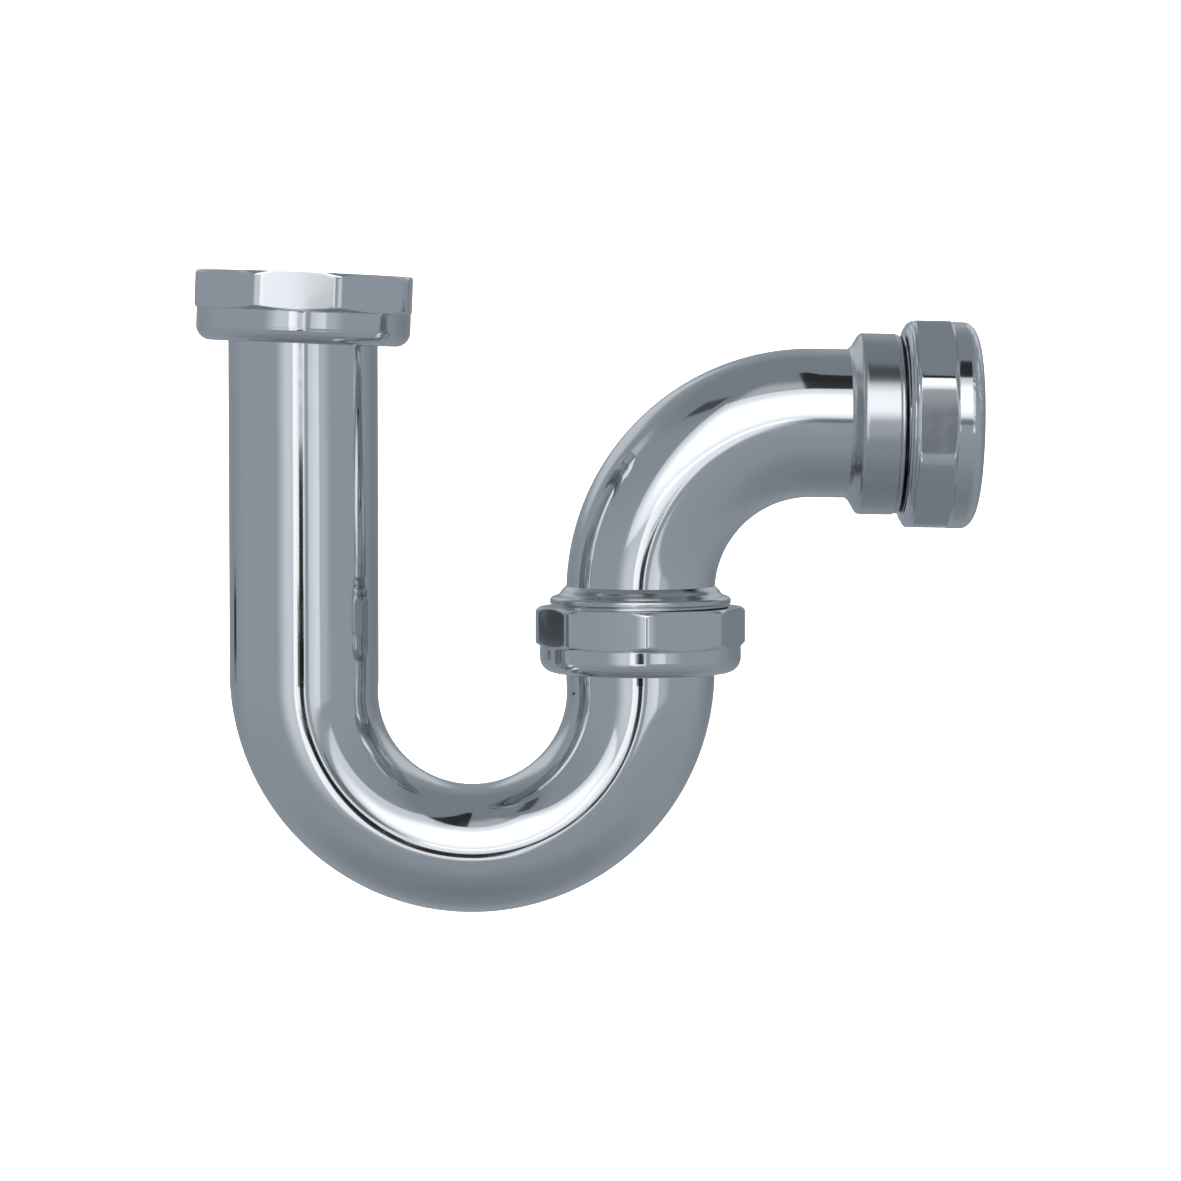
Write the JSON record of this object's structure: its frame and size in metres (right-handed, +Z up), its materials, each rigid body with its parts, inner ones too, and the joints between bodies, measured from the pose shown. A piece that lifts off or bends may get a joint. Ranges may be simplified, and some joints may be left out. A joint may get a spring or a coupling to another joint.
{
  "type": "p trap",
  "caption": "Chromed brass tube P trap: deep U bend with captive inlet nut, union joint, and an outlet bend ending in a threaded socket with a slip nut.",
  "frame": {"origin": "on the inlet axis, at the top sealing face of the inlet washer, where the waste fitting's end seats", "axes": "+Z up along the inlet axis, +X from the inlet leg towards the outlet, Y across the plane of the bends"},
  "size_m": [0.2, 0.055, 0.1641],
  "materials": {
    "chrome": "polished chrome plate on brass",
    "brass": "bare machined brass",
    "rubber": "matt black moulded rubber"
  },
  "bodies": {
    "trap_bend": {"u_bend_tube": "chrome", "inlet_washer": "rubber", "union_washer": "rubber"},
    "inlet_slip_ring": {"inlet_slip_ring": "brass"},
    "inlet_nut": {"inlet_nut": "chrome"},
    "outlet_bend": {"outlet_bend_tube": "chrome", "union_ferrule": "chrome", "outlet_socket": "chrome"},
    "union_slip_ring": {"union_slip_ring": "brass"},
    "union_nut": {"union_nut": "chrome"},
    "outlet_packing": {"outlet_seal": "rubber", "outlet_slip_ring": "brass"},
    "outlet_nut": {"outlet_nut": "chrome"}
  },
  "joints": [
    {"name": "inlet_nut_slide", "type": "slide", "parent": "trap_bend", "child": "inlet_slip_ring", "axis": [0, 0, 1], "range_m": [-0.082, 0]},
    {"name": "inlet_nut_spin", "type": "hinge", "parent": "inlet_slip_ring", "child": "inlet_nut", "pos_m": [0, 0, 0], "axis": [0, 0, 1], "continuous": true},
    {"name": "outlet_swivel", "type": "hinge", "parent": "trap_bend", "child": "outlet_bend", "pos_m": [0.0861, 0, -0.0846], "axis": [0, 0, 1], "range_deg": [-135, 135]},
    {"name": "union_nut_travel", "type": "slide", "parent": "outlet_bend", "child": "union_slip_ring", "axis": [0, 0, 1], "range_m": [-0.0045, 0]},
    {"name": "union_nut_spin", "type": "hinge", "parent": "union_slip_ring", "child": "union_nut", "pos_m": [0.0861, 0, -0.0931], "axis": [0, 0, 1], "range_deg": [-1080, 0]},
    {"name": "outlet_nut_travel", "type": "slide", "parent": "outlet_bend", "child": "outlet_packing", "axis": [0.9998, 0, -0.0175], "range_m": [0, 0.0045]},
    {"name": "outlet_nut_spin", "type": "hinge", "parent": "outlet_packing", "child": "outlet_nut", "pos_m": [0.17215, 0, -0.03004], "axis": [0.9998, 0, -0.0175], "range_deg": [0, 1080]}
  ],
  "couplings": [
    {"joint": "union_nut_travel", "follows": "union_nut_spin", "m_per_rad": 0.00023873},
    {"joint": "outlet_nut_travel", "follows": "outlet_nut_spin", "m_per_rad": 0.00023873}
  ]
}
